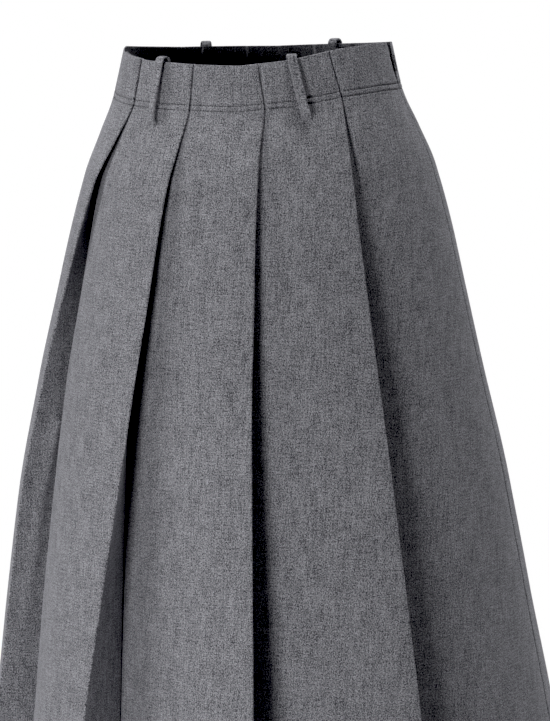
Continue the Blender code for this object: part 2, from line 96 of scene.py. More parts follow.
@dataclass(frozen=True)
class FitTable:
    """The garment's sizes by depth below the waist edge, in metres, the same as its solids' own."""

    depths: tuple = (0.0, 0.042, 0.075, 0.110, 0.160, 0.220, 0.300, 0.400, 0.500, 0.600, 0.780)
    half_width: tuple = (0.1206, 0.1304, 0.1414, 0.1541, 0.1658, 0.1780, 0.1939, 0.2109, 0.2264, 0.2398, 0.2640)
    half_depth: tuple = (0.0860, 0.0975, 0.1099, 0.1221, 0.1343, 0.1442, 0.1560, 0.1758, 0.1960, 0.2110, 0.2340)
    sway: tuple = (0.0027, 0.0018, 0.0017, 0.0014, 0.0002, -0.0015, -0.0035, -0.0022, -0.0002, 0.0018, 0.0030)
    pleat_back: tuple = (0.0380, 0.0380, 0.0385, 0.0390, 0.0390, 0.0375, 0.0350, 0.0325, 0.0305, 0.0300, 0.0290)
    valley_in: tuple = (0.0, 0.0, 0.0002, 0.0030, 0.0070, 0.0100, 0.0120, 0.0130, 0.0130, 0.0130, 0.0120)
    side_back: tuple = (0.0, 0.0, 0.0006, 0.0030, 0.0100, 0.0190, 0.0275, 0.0320, 0.0345, 0.0365, 0.0390)
    side_out: tuple = (0.0, 0.0, 0.0030, 0.0054, 0.0072, 0.0080, 0.0102, 0.0166, 0.0180, 0.0202, 0.0262)
    wide_back: tuple = (0.0, 0.0, 0.0006, 0.0030, 0.0092, 0.0140, 0.0145, 0.0160, 0.0194, 0.0222, 0.0242)
    wide_out: tuple = (0.0, 0.0, 0.0044, 0.0086, 0.0123, 0.0143, 0.0177, 0.0220, 0.0218, 0.0252, 0.0316)
    near_back: tuple = (0.0, 0.0, 0.0022, 0.0044, 0.0060, 0.0075, 0.0100, 0.0147, 0.0207, 0.0270, 0.0285)
    near_out: tuple = (0.0, 0.0, 0.0019, 0.0041, 0.0064, 0.0096, 0.0155, 0.0248, 0.0340, 0.0415, 0.0450)
    mid_back: tuple = (0.0, 0.0, 0.0034, 0.0058, 0.0074, 0.0082, 0.0102, 0.0122, 0.0140, 0.0168, 0.0220)
    mid_out: tuple = (0.0, 0.0, 0.0019, 0.0041, 0.0064, 0.0096, 0.0155, 0.0248, 0.0340, 0.0415, 0.0450)
    far_back: tuple = (0.0, 0.0, 0.0034, 0.0080, 0.0108, 0.0115, 0.0118, 0.0134, 0.0148, 0.0160, 0.0200)
    far_out: tuple = (0.0, 0.0, 0.0026, 0.0055, 0.0106, 0.0155, 0.0205, 0.0243, 0.0270, 0.0295, 0.0320)

    def read(self, name: str, depth: np.ndarray) -> np.ndarray:
        """Read a column at many depths on a smooth monotone curve.

        In words: between two rows the value is the cubic that meets both rows with slopes set to the harmonic
        mean of the slopes on either side, so it never overshoots.

        Args:
            name: the column's name.
            depth: depths below the waist edge, metres.

        Returns:
            The column's value at each depth.
        """
        x = np.array(self.depths)
        y = np.array(getattr(self, name))
        h = np.diff(x)
        d = np.diff(y) / h
        same = d[:-1] * d[1:] > 0
        slope = np.zeros_like(y)
        slope[1:-1] = np.where(same, 2 * d[:-1] * d[1:] / np.where(same, d[:-1] + d[1:], 1.0), 0.0)
        slope[0], slope[-1] = d[0], d[-1]
        i = np.clip(np.searchsorted(x, depth, side="right") - 1, 0, len(h) - 1)
        t = (depth - x[i]) / h[i]
        level = (2 * t**3 - 3 * t**2 + 1) * y[i] + (3 * t**2 - 2 * t**3) * y[i + 1]
        return level + ((t**3 - 2 * t**2 + t) * slope[i] + (t**3 - t**2) * slope[i + 1]) * h[i]


@dataclass(frozen=True)
class Cloth:
    """The flannel pressed thin, and how its layers stack at the waist, in metres.

    The panels lie at the same level as the solids' own, and the hidden layers are raised to meet them.
    """

    wall: float = 0.0011
    layer_gap: float = 0.0002
    seam_gap: float = 0.0003
    level: float = 0.0042

    @property
    def turn(self) -> float:
        """Radius of the wall's middle round a fold."""
        return (self.wall + self.layer_gap) / 2

    @property
    def lift(self) -> float:
        """How far the lowest layer's middle is raised where a pleat lies flat."""
        return self.level - 4 * self.turn


@dataclass
class Rings:
    """The garment's outline at a column of depths: an ellipse each, with distances worked out round it."""

    depth: np.ndarray
    fit: FitTable = field(default_factory=FitTable)
    cloth: Cloth = field(default_factory=Cloth)
    rise_fade: float = 0.30
    stitch_depth: float = 0.042
    open_over: float = 0.08
    belly: float = 0.30
    rise_angle: tuple = (-180, -135, -90, -67.5, -45, -22.5, 0, 22.5, 45, 67.5, 90, 135, 180, 225, 270)
    rise_mm: tuple = (1.5, 3, 7.4, 1.2, -3.2, -6.1, -8.2, -3.8, 4.6, 8.0, 7.6, 4, 1.5, 3, 7.4)
    pleat_angle: tuple = (-57.3, -20.2, 11.0, 44.1, 130.0, 161.0, 192.0, 223.0)
    pleat_kind: tuple = ("side", "near", "mid", "far", "wide", "near", "mid", "far")
    pleat_valley: tuple = (1.6, 1.0, 1.0, 1.5, 1.5, 1.1, 1.0, 1.4)
    slant_edge: tuple = (0.0095, 0.0, -0.0059, -0.0080, 0.0, 0.0, 0.0, 0.0)
    slant_stitch: tuple = (0.0130, 0.0020, 0.0010, -0.0010, 0.0, 0.0, 0.0, 0.0)
    slant_end: float = 0.110
    zip_degrees: float = 90.0
    lean_depth: tuple = (0.0, 0.030, 0.063, 0.110, 0.165, 0.300)
    lean_along: tuple = (-0.0090, -0.0070, -0.0045, -0.0032, -0.0016, 0.0)
    fold_ease: float = 0.0002
    step_begin: float = 0.0004
    step_length: float = 0.0036
    angle_count: int = 1801

    def __post_init__(self) -> None:
        """Work out each ellipse and the running length round it."""
        self.depth = np.atleast_1d(np.asarray(self.depth, dtype=float))
        at = np.clip(self.depth, 0.0, self.fit.depths[-1])
        self.a = self.fit.read("half_width", at)[:, None]
        self.b = self.fit.read("half_depth", at)[:, None]
        self.sway = self.fit.read("sway", at)[:, None]
        self.back = self.fit.read("pleat_back", at)
        self.valley = self.fit.read("valley_in", at)
        self.free = np.clip((at - self.stitch_depth) / self.open_over, 0.0, 1.0)
        self.angles = np.linspace(-math.pi, 2 * math.pi, self.angle_count)
        speed = np.hypot(self.a * np.cos(self.angles), self.b * np.sin(self.angles))
        step = (speed[:, 1:] + speed[:, :-1]) / 2 * (self.angles[1] - self.angles[0])
        self.lengths = np.concatenate([np.zeros((len(self.depth), 1)), np.cumsum(step, axis=1)], axis=1)

    def along(self, degrees: float | np.ndarray) -> np.ndarray:
        """Distance round each ellipse at its angle.

        In words: the running length is read between the two nearest of its even angles.

        Args:
            degrees: one angle from centre front, or one for each depth.

        Returns:
            A distance for each depth.
        """
        place = (np.radians(degrees) - self.angles[0]) / (self.angles[1] - self.angles[0])
        place = np.broadcast_to(place, self.depth.shape)
        i = np.minimum(place.astype(int), len(self.angles) - 2)
        rows = np.arange(len(self.depth))
        return self.lengths[rows, i] + (self.lengths[rows, i + 1] - self.lengths[rows, i]) * (place - i)

    def seam(self, degrees: float) -> np.ndarray:
        """Distance round each ellipse to a side seam; the zip's seam leans forward towards the waist edge."""
        leans = degrees == self.zip_degrees
        return self.along(degrees) + leans * np.interp(self.depth, self.lean_depth, self.lean_along)

    def points(self, along: np.ndarray, out: np.ndarray) -> np.ndarray:
        """World points of distances round the ellipses and offsets from them.

        In words: the angle is where the running length equals the distance, the point is the ellipse there
        plus the offset along its outward normal, and the height is minus the depth plus the waist edge's rise,
        which dies away with depth.

        Args:
            along: distances, rows by columns.
            out: offsets, rows by columns.

        Returns:
            Points, rows by columns by three.
        """
        along, out = np.broadcast_arrays(np.asarray(along, float), np.asarray(out, float))
        t = np.stack([np.interp(q, s, self.angles) for q, s in zip(along, self.lengths)])
        nx, ny = self.b * np.sin(t), -self.a * np.cos(t)
        n = np.hypot(nx, ny)
        fade = np.clip(1 - self.depth[:, None] / self.rise_fade, 0.0, 1.0)
        rise = np.interp(t, np.radians(self.rise_angle), np.array(self.rise_mm) / 1000)
        x = self.sway + self.a * np.sin(t) + out * nx / n
        y = -self.b * np.cos(t) + out * ny / n
        return np.stack([x, y, -self.depth[:, None] + rise * fade], axis=-1)

    def fold(self, k: int) -> tuple[np.ndarray, np.ndarray]:
        """How far the fold edge of pleat k stands back from its start and out from the outline.

        Args:
            k: which pleat, counted round the ring and on past its ends.

        Returns:
            Distances back and out, one for each depth.
        """
        kind = self.pleat_kind[k % PLEATS]
        at = np.clip(self.depth, 0.0, self.fit.depths[-1])
        back = self.fit.read(kind + "_back", at) + self.cloth.turn + self.fold_ease
        return back, self.fit.read(kind + "_out", at) + self.cloth.level

    def start(self, k: int) -> np.ndarray:
        """Where the panel after pleat k starts.

        In words: the distance at the pleat's angle, plus a slant that dies away below the stitched zone.

        Args:
            k: which pleat, counted round the ring and on past its ends.

        Returns:
            A distance for each depth.
        """
        spins, k = divmod(k, PLEATS)
        knots = (0.0, self.stitch_depth, self.slant_end)
        slant = np.interp(self.depth, knots, (self.slant_edge[k], self.slant_stitch[k], 0.0))
        return self.along(self.pleat_angle[k] + 360.0 * spins) + slant

    def panel(self, k: int) -> tuple[np.ndarray, np.ndarray, np.ndarray]:
        """The panel after pleat k.

        Args:
            k: which pleat, counted round the ring and on past its ends.

        Returns:
            Columns of its start, its run up to the next fold edge, and that edge's offset.
        """
        start = self.start(k)[:, None]
        back, out = self.fold(k + 1)
        return start, self.start(k + 1)[:, None] - back[:, None] - start, out[:, None]

    def panel_out(self, q: np.ndarray, run: np.ndarray | float, out: np.ndarray | float) -> np.ndarray:
        """Offset of a panel past its start.

        In words: flat at the waist after a smooth step up, and an even swelling slope once the pleat opens.

        Args:
            q: distances past the panel's start.
            run: how far it runs to its fold edge.
            out: that edge's offset.

        Returns:
            The wall's offset from the outline.
        """
        x = np.clip(q / run, 0.0, 1.0)
        slope = x * (1 + self.belly * (1 - x))
        rise = np.clip((q - self.step_begin) / self.step_length, 0.0, 1.0)
        step = rise * rise * (3 - 2 * rise)
        free = self.free[:, None]
        low = self.cloth.lift
        return out * free * slope + (1 - free) * (low + (out - low) * step)


@dataclass(frozen=True)
class Crease:
    """One soft ridge or trough in a panel: sizes in metres, share counted along the panel."""

    panel: int
    share: float
    depth: float
    width: float
    length: float
    height: float
    lean: float = 0.0

    def lift(self, share: np.ndarray, depth: np.ndarray, run: np.ndarray) -> np.ndarray:
        """Height of the crease over a panel.

        In words: a bell across its leaning line times a bell down its length.

        Args:
            share: how far along the panel each point is, from 0 to 1.
            depth: depths below the waist edge.
            run: how long the panel is.

        Returns:
            Heights, rows by columns.
        """
        across = (share - self.share) * run - self.lean * (depth - self.depth)
        return self.height * np.exp(-((across / self.width) ** 2) - ((depth - self.depth) / self.length) ** 2)


CREASES = (
    Crease(0, 0.55, 0.30, 0.014, 0.120, 0.0011, 0.05),
    Crease(0, 0.22, 0.55, 0.018, 0.110, -0.0012, -0.04),
    Crease(0, 0.80, 0.13, 0.009, 0.050, -0.0008, 0.10),
    Crease(1, 0.30, 0.24, 0.014, 0.130, -0.0009, 0.03),
    Crease(1, 0.62, 0.50, 0.022, 0.160, 0.0012, -0.02),
    Crease(1, 0.70, 0.12, 0.010, 0.045, 0.0007, -0.06),
    Crease(2, 0.36, 0.255, 0.0045, 0.040, -0.0009, 0.02),
    Crease(2, 0.30, 0.47, 0.020, 0.140, 0.0012, 0.05),
    Crease(2, 0.74, 0.36, 0.018, 0.150, -0.0010, -0.03),
    Crease(2, 0.55, 0.13, 0.012, 0.050, 0.0008, 0.05),
    Crease(3, 0.20, 0.38, 0.016, 0.120, 0.0016, 0.16),
    Crease(3, 0.34, 0.42, 0.022, 0.150, -0.0016, 0.14),
    Crease(3, 0.60, 0.30, 0.030, 0.160, 0.0014, 0.02),
    Crease(3, 0.82, 0.56, 0.026, 0.150, -0.0014, 0.04),
    Crease(4, 0.50, 0.30, 0.014, 0.120, -0.0010, 0.04),
    Crease(4, 0.30, 0.54, 0.020, 0.130, 0.0012, -0.03),
    Crease(5, 0.34, 0.27, 0.012, 0.110, 0.0009, 0.03),
    Crease(5, 0.66, 0.48, 0.022, 0.150, -0.0012, 0.02),
    Crease(6, 0.40, 0.22, 0.010, 0.080, -0.0009, -0.03),
    Crease(6, 0.58, 0.52, 0.022, 0.150, 0.0012, 0.04),
    Crease(7, 0.24, 0.36, 0.018, 0.120, 0.0014, 0.10),
    Crease(7, 0.56, 0.48, 0.026, 0.160, -0.0014, 0.05),
    Crease(7, 0.84, 0.26, 0.022, 0.140, 0.0012, -0.03),
)


class Sketch:
    """A short way to write a material's nodes."""

    def __init__(self, name: str) -> None:
        """Start a material of that name with its shader and output."""
        self.material = bpy.data.materials.new(name)
        self.material.use_nodes = True
        self.tree = self.material.node_tree
        self.shader = self.tree.nodes["Principled BSDF"]

    def node(self, kind: str, values: dict | None = None, **settings: object) -> bpy.types.Node:
        """Add a node.

        Args:
            kind: the node's type.
            values: socket values or links by socket name or number.
            settings: the node's own settings.

        Returns:
            The new node.
        """
        new = self.tree.nodes.new(kind)
        for key, value in settings.items():
            setattr(new, key, value)
        for key, value in (values or {}).items():
            self.put(new, key, value)
        return new

    def put(self, node: bpy.types.Node, key: str | int, value: object) -> None:
        """Set a socket to a value, or link it when the value is a socket."""
        socket = node.inputs[key]
        if isinstance(value, bpy.types.NodeSocket):
            self.tree.links.new(value, socket)
        else:
            socket.default_value = value

    def maths(self, action: str, first: object, second: object = 0.0) -> bpy.types.NodeSocket:
        """Join two values by a sum, product or other step."""
        return self.node("ShaderNodeMath", {0: first, 1: second}, operation=action).outputs[0]

    def noise(self, where: bpy.types.NodeSocket, size: tuple[float, float], detail: float, place: float = 0.0,
              turn: float = 0.0) -> bpy.types.NodeSocket:
        """Noise with its own grain size across and down, in metres.

        Args:
            where: the coordinates, in metres.
            size: grain size across and down the cloth.
            detail: how many finer steps it holds.
            place: shift that keeps one noise apart from another.
            turn: how far the grain is turned, radians.

        Returns:
            The noise value's socket.
        """
        moved = self.node("ShaderNodeMapping", {"Vector": where, "Scale": (1 / size[0], 1 / size[1], 1.0),
                                                "Rotation": (0.0, 0.0, turn),
                                                "Location": (place, place * 0.7, place * 1.3)})
        made = self.node("ShaderNodeTexNoise", {"Vector": moved.outputs[0], "Scale": 1.0, "Detail": detail,
                                                "Roughness": 0.6})
        return made.outputs[0]

    def blend(self, share: bpy.types.NodeSocket, low: tuple, high: tuple) -> None:
        """Colour the surface from the low colour to the high one by a share."""
        mix = self.node("ShaderNodeMix", {0: share, 6: (*low, 1.0), 7: (*high, 1.0)}, data_type="RGBA")
        self.put(self.shader, "Base Color", mix.outputs[2])

    def relief(self, height: bpy.types.NodeSocket, distance: float, strength: float) -> None:
        """Raise the surface by a height."""
        bump = self.node("ShaderNodeBump", {"Height": height, "Distance": distance, "Strength": strength})
        self.put(self.shader, "Normal", bump.outputs[0])

    def finish(self, values: dict) -> bpy.types.Material:
        """Set the shader's values by socket name and hand the material over."""
        for key, value in values.items():
            self.put(self.shader, key, value)
        return self.material


@dataclass(frozen=True)
class FlannelFinish:
    """Milled wool flannel in grey melange: dark and pale fibres mixed, a faint nap, a soft sheen."""

    dark: tuple = (0.036, 0.036, 0.041)
    pale: tuple = (0.350, 0.350, 0.374)
    middle: float = 0.45
    fleck_size: tuple = (0.0009, 0.001125)
    hair_size: tuple = (0.0007, 0.0017)
    hair_turn: float = 0.5
    yarn_size: tuple = (0.0010, 0.0160)
    cloud_size: tuple = (0.011, 0.016)
    fleck_share: float = 2.60
    hair_share: float = 1.43
    warp_share: float = 0.80
    weft_share: float = 0.64
    cloud_share: float = 0.34
    nap: float = 0.00022

    def material(self, name: str) -> bpy.types.Material:
        """Make the finish.

        In words: pale share = middle + fleck noise + streaks down and across the weave + slow cloudiness, and
        the colour runs from the dark to the pale fibre by it; the same flecks and streaks raise the nap.

        Args:
            name: the material's name.

        Returns:
            The material.
        """
        s = Sketch(name)
        cloth = s.node("ShaderNodeUVMap", uv_map="cloth").outputs[0]
        fleck = s.noise(cloth, self.fleck_size, 2.0)
        hair = s.noise(cloth, self.hair_size, 1.0, 3.7, self.hair_turn)
        warp = s.noise(cloth, self.yarn_size, 2.0, 11.3)
        weft = s.noise(cloth, self.yarn_size[::-1], 2.0, 23.9)
        cloud = s.noise(cloth, self.cloud_size, 2.0, 41.1)
        parts = ((fleck, self.fleck_share), (hair, self.hair_share), (warp, self.warp_share),
                 (weft, self.weft_share), (cloud, self.cloud_share))
        total: object = self.middle
        for value, share in parts:
            total = s.maths("ADD", total, s.maths("MULTIPLY", s.maths("SUBTRACT", value, 0.5), share))
        s.blend(s.node("ShaderNodeClamp", {0: total}).outputs[0], self.dark, self.pale)
        weave = s.maths("MULTIPLY", s.maths("ADD", warp, weft), 0.35)
        s.relief(s.maths("ADD", s.maths("MULTIPLY", fleck, 0.6), weave), self.nap, 0.7)
        return s.finish({"Roughness": 0.95, "Specular IOR Level": 0.12, "Sheen Weight": 0.22,
                         "Sheen Roughness": 0.55, "Sheen Tint": (0.80, 0.80, 0.86, 1.0)})


@dataclass(frozen=True)
class ThreadFinish:
    """Dark grey sewing thread with its twist."""

    colour: tuple = (0.022, 0.022, 0.025)
    twist: float = 0.0006

    def material(self, name: str) -> bpy.types.Material:
        """Make the finish: light and dark patches a twist long on the thread's own coordinates.

        Args:
            name: the material's name.

        Returns:
            The material.
        """
        s = Sketch(name)
        where = s.node("ShaderNodeTexCoord").outputs["Object"]
        noise = s.node("ShaderNodeTexNoise", {"Vector": where, "Scale": 1 / self.twist, "Detail": 1.0})
        s.blend(noise.outputs[0], tuple(c * 0.6 for c in self.colour), tuple(c * 1.5 for c in self.colour))
        return s.finish({"Roughness": 0.7, "Sheen Weight": 0.1})


@dataclass(frozen=True)
class TapeFinish:
    """Woven dark tape: fine ribs across it."""

    colour: tuple = (0.030, 0.030, 0.034)
    rib: float = 0.0009
    fibre: float = 0.0005

    def material(self, name: str) -> bpy.types.Material:
        """Make the finish.

        In words: the height is the sine of the way up the tape over the rib's pitch, plus a fine fibre noise.

        Args:
            name: the material's name.

        Returns:
            The material.
        """
        s = Sketch(name)
        cloth = s.node("ShaderNodeUVMap", uv_map="cloth").outputs[0]
        split = s.node("ShaderNodeSeparateXYZ", {0: cloth})
        wave = s.maths("SINE", s.maths("MULTIPLY", split.outputs[1], 2 * math.pi / self.rib))
        fibre = s.noise(cloth, (self.fibre, self.fibre), 2.0)
        s.blend(fibre, tuple(c * 0.6 for c in self.colour), tuple(c * 1.7 for c in self.colour))
        s.relief(s.maths("ADD", s.maths("MULTIPLY", wave, 0.5), fibre), 0.0001, 0.6)
        return s.finish({"Roughness": 0.75})


@dataclass(frozen=True)
class MetalFinish:
    """Lacquered zip metal, worn brighter where fingers touch it."""

    colour: tuple = (0.055, 0.055, 0.060)
    worn: tuple = (0.30, 0.29, 0.28)

    def material(self, name: str) -> bpy.types.Material:
        """Make the finish: dark lacquer with small worn flecks and a slightly uneven gloss.

        Args:
            name: the material's name.

        Returns:
            The material.
        """
        s = Sketch(name)
        where = s.node("ShaderNodeTexCoord").outputs["Object"]
        wear = s.node("ShaderNodeTexNoise", {"Vector": where, "Scale": 1500.0, "Detail": 3.0}).outputs[0]
        share = s.node("ShaderNodeMapRange", {0: wear, 1: 0.58, 2: 0.72, 3: 0.0, 4: 0.7}).outputs[0]
        s.blend(share, self.colour, self.worn)
        gloss = s.node("ShaderNodeMapRange", {0: wear, 1: 0.3, 2: 0.7, 3: 0.28, 4: 0.45}).outputs[0]
        return s.finish({"Metallic": 0.9, "Roughness": gloss})


class MeshMaker:
    """Turns arrays into pieces that ride on the skirt's body."""

    @staticmethod
    def piece(name: str, points: np.ndarray, quads: np.ndarray, uv: np.ndarray | None, body: str,
              material: bpy.types.Material, slot: str) -> bpy.types.Object:
        """Put points and four-sided faces into a smooth-shaded piece.

        Args:
            name: the piece's name.
            points: vertices by three.
            quads: faces by four.
            uv: two cloth coordinates a vertex, in metres, or None.
            body: the body it rides on.
            material: its finish.
            slot: not used.

        Returns:
            The new object.
        """
        mesh = bpy.data.meshes.new(name)
        mesh.vertices.add(len(points))
        mesh.vertices.foreach_set("co", np.ascontiguousarray(points, dtype=np.float32).ravel())
        mesh.loops.add(quads.size)
        mesh.loops.foreach_set("vertex_index", np.ascontiguousarray(quads, dtype=np.int32).ravel())
        mesh.polygons.add(len(quads))
        mesh.polygons.foreach_set("loop_start", np.arange(0, quads.size, quads.shape[1], dtype=np.int32))
        mesh.polygons.foreach_set("use_smooth", np.ones(len(quads), dtype=bool))
        mesh.update(calc_edges=True)
        mesh.validate()
        if uv is not None:
            layer = mesh.uv_layers.new(name="cloth")
            index = np.empty(len(mesh.loops), dtype=np.int32)
            mesh.loops.foreach_get("vertex_index", index)
            layer.data.foreach_set("uv", uv[index].astype(np.float32).ravel())
        mesh.materials.append(material)
        made = bpy.data.objects.new(name, mesh)
        bpy.context.scene.collection.objects.link(made)
        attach(made, body)
        return made

    @staticmethod
    def grid_quads(rows: int, cols: int, closed: bool = False) -> np.ndarray:
        """Faces of a grid of points, row by row.

        Args:
            rows: how many rows.
            cols: how many points in a row.
            closed: whether each row joins round.

        Returns:
            Faces by four.
        """
        i, j = np.meshgrid(np.arange(rows - 1), np.arange(cols if closed else cols - 1), indexing="ij")
        k = (j + 1) % cols
        corners = [i * cols + j, (i + 1) * cols + j, (i + 1) * cols + k, i * cols + k]
        return np.stack(corners, axis=-1).reshape(-1, 4)

    @staticmethod
    def tube_quads(rows: int, cols: int) -> np.ndarray:
        """Faces of a closed tube of points with a flat cap at either end.

        Args:
            rows: how many rings of points.
            cols: how many points in a ring.

        Returns:
            Faces by four.
        """
        j = np.arange(cols // 2 - 1)
        caps = [np.stack([base + j, base + j + 1, base + cols - 2 - j, base + cols - 1 - j], axis=1)
                for base in (0, (rows - 1) * cols)]
        return np.vstack([MeshMaker.grid_quads(rows, cols, closed=True), *caps])

    @staticmethod
    def outward(made: bpy.types.Object) -> None:
        """Turn a closed piece's faces outwards.

        Args:
            made: the piece.
        """
        mesh = bmesh.new()
        mesh.from_mesh(made.data)
        bmesh.ops.recalc_face_normals(mesh, faces=mesh.faces[:])
        mesh.to_mesh(made.data)
        mesh.free()


@dataclass(frozen=True)
class UnderlayRidge:
    """A pinch in one pleat's hidden side, with a soft ridge that runs down from it towards the fold."""

    pleat: int = 0
    route_depth: tuple = (0.325, 0.410, 0.520)
    route_share: tuple = (0.34, 0.54, 0.60)
    width: float = 0.13
    height: float = 0.0050
    begins: float = 0.332
    begin_length: float = 0.0022
    ends: float = 0.560
    end_length: float = 0.160
    pinch_height: float = 0.0045
    pinch_depth: float = 0.338
    pinch_length: float = 0.008

    def push(self, rings: Rings, k: int, out: np.ndarray) -> np.ndarray:
        """How far the hidden side is pushed along the outline.

        In words: a bell across the hidden side about its route, times a ridge that begins sharply and fades out
        plus the pinch's own bell down the side.

        Args:
            rings: the outline at each depth.
            k: which pleat.
            out: the hidden side's offsets, rows by columns.

        Returns:
            Distances to add, rows by columns.
        """
        if k != self.pleat:
            return np.zeros_like(out)
        depth = rings.depth[:, None]
        share = (out - out.min(axis=1, keepdims=True)) / np.ptp(out, axis=1)[:, None]
        route = np.interp(depth, self.route_depth, self.route_share)
        begun = 1 / (1 + np.exp(-(depth - self.begins) / self.begin_length))
        left = np.clip((self.ends - depth) / self.end_length, 0.0, 1.0)
        pinch = self.pinch_height * bell(depth, self.pinch_depth, self.pinch_length)
        return bell(share, route, self.width) * begun * (self.height * left + pinch)


@dataclass
class PleatedHalf:
    """Front or back of the skirt: a thin pleated shell from seam to seam and from waist edge to hem."""

    half: Half
    length: float = 0.780
    stitch_rows: tuple = (0.037, 0.042)
    dip: float = 0.0007
    dip_width: float = 0.0008
    edge_round: float = 0.92
    arc_steps: int = 7
    panel_steps: int = 22
    under_steps: int = 13
    back_steps: int = 8
    near_steps: tuple = (0.0004, 0.0010, 0.0016, 0.0022, 0.0028, 0.0034, 0.0041, 0.0052, 0.0072, 0.0100)
    first_steps: tuple = (0.0, 0.012, 0.028)
    last_steps: tuple = (0.972, 0.988, 1.0)
    seam_roll: float = 0.0006
    roll_width: float = 0.0012
    zip_half: float = 0.0035
    zip_closing: tuple = (0.024, 0.036)
    calm_depth: float = 0.055
    calm_length: float = 0.04
    calm_share: float = 0.06
    cut_margin: float = 0.02
    hem_margin: float = 0.01
    ridge: UnderlayRidge = field(default_factory=UnderlayRidge)

    def depths(self) -> np.ndarray:
        """Depths of the grid's rows: close at the waist edge, along the stitch rows and at the hem."""
        edge = np.array([0.0, 0.00025, 0.0008, 0.0018])
        spans = ((0.0040, 0.0340, 12), (0.0352, 0.0440, 17), (0.0460, 0.1240, 30), (0.1300, 0.3160, 18),
                 (0.3200, 0.3560, 13), (0.3660, self.length - 0.0030, 40))
        hem = self.length - np.array([0.0012, 0.0005, 0.0])
        return np.concatenate([edge, *(np.linspace(*span) for span in spans), hem])

    def turns(self, rings: Rings, k: int) -> tuple[np.ndarray, np.ndarray]:
        """The pleat's own folds: round its outer edge, down its hidden side and round its valley.

        In words: two circles of the turning radius sit at the fold edge and at the valley, and the hidden side
        is the straight line that touches both on opposite sides.

        Args:
            rings: the outline at each depth.
            k: which pleat.

        Returns:
            Distances past the pleat's start, and offsets.
        """
        radius = rings.cloth.turn
        back, out = rings.fold(k)
        top_q, top_o = -back, out - radius
        low_q = -rings.back
        low_o = radius + rings.cloth.lift * (1 - rings.free) - rings.valley * rings.pleat_valley[k]
        reach = np.hypot(low_q - top_q, low_o - top_o)
        lean = np.arctan2(low_o - top_o, low_q - top_q)
        lean = np.where(lean > 0, lean - 2 * math.pi, lean)
        leave = lean - np.arcsin(np.minimum(2 * radius / reach, 1.0)) + math.pi / 2
        steps = np.arange(1, self.arc_steps) / self.arc_steps
        first = math.pi / 2 + (leave[:, None] - math.pi / 2) * steps
        enter = leave + math.pi
        last = np.where(enter > 0, 3 * math.pi / 2, -math.pi / 2)
        second = enter[:, None] + (last - enter)[:, None] * steps
        share = np.linspace(0.0, 1.0, self.under_steps)
        both = []
        for top, low, wave in ((top_q, low_q, np.cos), (top_o, low_o, np.sin)):
            leaves, enters = top + radius * wave(leave), low - radius * wave(leave)
            both.append(np.concatenate([
                top[:, None] + radius * wave(first),
                leaves[:, None] + (enters - leaves)[:, None] * share,
                low[:, None] + radius * wave(second),
            ], axis=1))
        return both[0], both[1]

    def crease_lift(self, rings: Rings, panel: int, q: np.ndarray, run: np.ndarray) -> np.ndarray:
        """Sum of the listed creases on one panel.

        In words: the creases' heights add up, and fade to nothing in the stitched zone and right at the fold.

        Args:
            rings: the outline at each depth.
            panel: which panel.
            q: distances past its start.
            run: how far it runs to its fold edge.

        Returns:
            Heights, rows by columns.
        """
        share = q / run
        depth = rings.depth[:, None]
        total = np.zeros(np.broadcast(share, depth).shape)
        for crease in (c for c in CREASES if c.panel == panel):
            total += crease.lift(share, depth, run)
        below = np.clip((depth - self.calm_depth) / self.calm_length, 0, 1)
        return total * below * np.clip((1 - share) / self.calm_share, 0, 1)

    def seam_gap(self, rings: Rings, degrees: float) -> np.ndarray:
        """Half of the gap at a seam: even where sewn, wide over the zip's open top.

        Args:
            rings: the outline at each depth.
            degrees: the seam's angle.

        Returns:
            A column of distances.
        """
        sewn = rings.cloth.seam_gap / 2
        if degrees != rings.zip_degrees:
            return np.full((len(rings.depth), 1), sewn)
        return np.interp(rings.depth, self.zip_closing, (self.zip_half, sewn))[:, None]

    def line(self, rings: Rings) -> np.ndarray:
        """The wall's middle at every depth.

        In words: from seam to seam, each panel runs from its start up to its fold edge, then the pleat turns
        back under it, and the next panel begins from the valley.

        Args:
            rings: the outline at each depth.

        Returns:
            Points, rows by columns by three.
        """
        pleats, (first_seam, last_seam) = self.half.pleats, self.half.seams
        q_all: list[np.ndarray] = []
        o_all: list[np.ndarray] = []

        def add_panel(k: int, q: np.ndarray) -> None:
            """Add the panel after pleat k at distances q past its start."""
            start, run, out = rings.panel(k)
            o_all.append(rings.panel_out(q, run, out) + self.crease_lift(rings, k % PLEATS, q, run))
            q_all.append(start + q)

